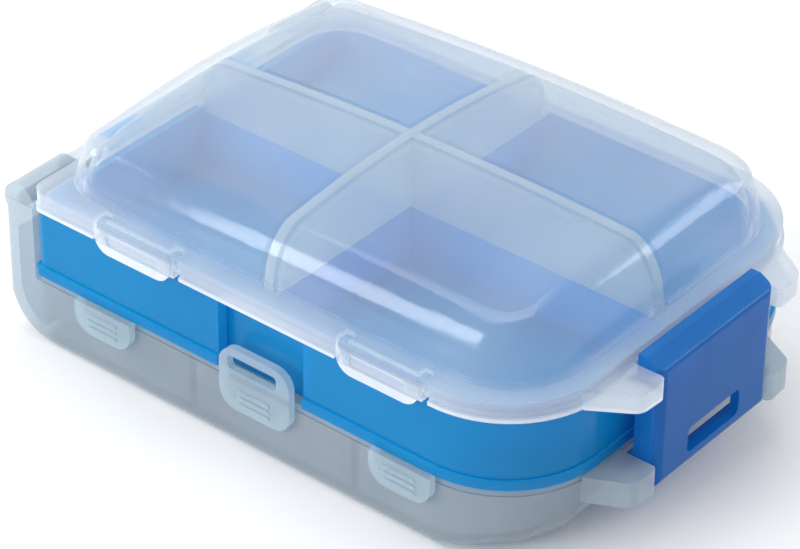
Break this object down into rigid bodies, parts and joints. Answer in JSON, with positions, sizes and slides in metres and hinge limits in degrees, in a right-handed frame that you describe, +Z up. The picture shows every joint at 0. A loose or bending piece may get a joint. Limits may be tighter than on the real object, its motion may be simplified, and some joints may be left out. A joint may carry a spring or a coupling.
{
  "type": "pill organizer",
  "caption": "Two-layer pill organizer: compartmented base, inner cover, deep blue tray and domed clear lid hinged on one spine, closed by an end latch.",
  "frame": {"origin": "centre of the case footprint on the flat underside that it stands on", "axes": "+Z up, +X from the hinge spine to the latch, -Y the front long side with the thumb tabs"},
  "size_m": [0.1147, 0.0797, 0.042],
  "materials": {
    "clear_body": "frosted translucent polypropylene",
    "clear_cover": "satin translucent polypropylene",
    "blue_tray": "satin translucent blue polypropylene",
    "clear_lid": "clear moulded plastic with a slight haze",
    "clear_divider": "clear moulded plastic with a slight haze",
    "rod_steel": "drawn wire",
    "blue_latch": "satin translucent blue polypropylene"
  },
  "bodies": {
    "base": {"base": "clear_body", "hinge_rod": "rod_steel"},
    "cover": {"inner_cover": "clear_cover"},
    "tray": {"blue_tray": "blue_tray"},
    "lid": {"domed_lid": "clear_lid", "long_divider": "clear_divider", "cross_divider": "clear_divider"},
    "latch": {"latch": "blue_latch"}
  },
  "joints": [
    {"name": "cover_hinge", "type": "hinge", "parent": "base", "child": "cover", "pos_m": [-0.05015, 0, 0.0255], "axis": [0, -1, 0], "range_deg": [0, 60]},
    {"name": "tray_hinge", "type": "hinge", "parent": "cover", "child": "tray", "pos_m": [-0.05015, 0, 0.0255], "axis": [0, -1, 0], "range_deg": [0, 45]},
    {"name": "lid_hinge", "type": "hinge", "parent": "tray", "child": "lid", "pos_m": [-0.05015, 0, 0.0255], "axis": [0, -1, 0], "range_deg": [0, 75]},
    {"name": "latch_pivot", "type": "hinge", "parent": "base", "child": "latch", "pos_m": [0.0564, 0, 0.0107], "axis": [0, 1, 0], "range_deg": [0, 100]}
  ]
}
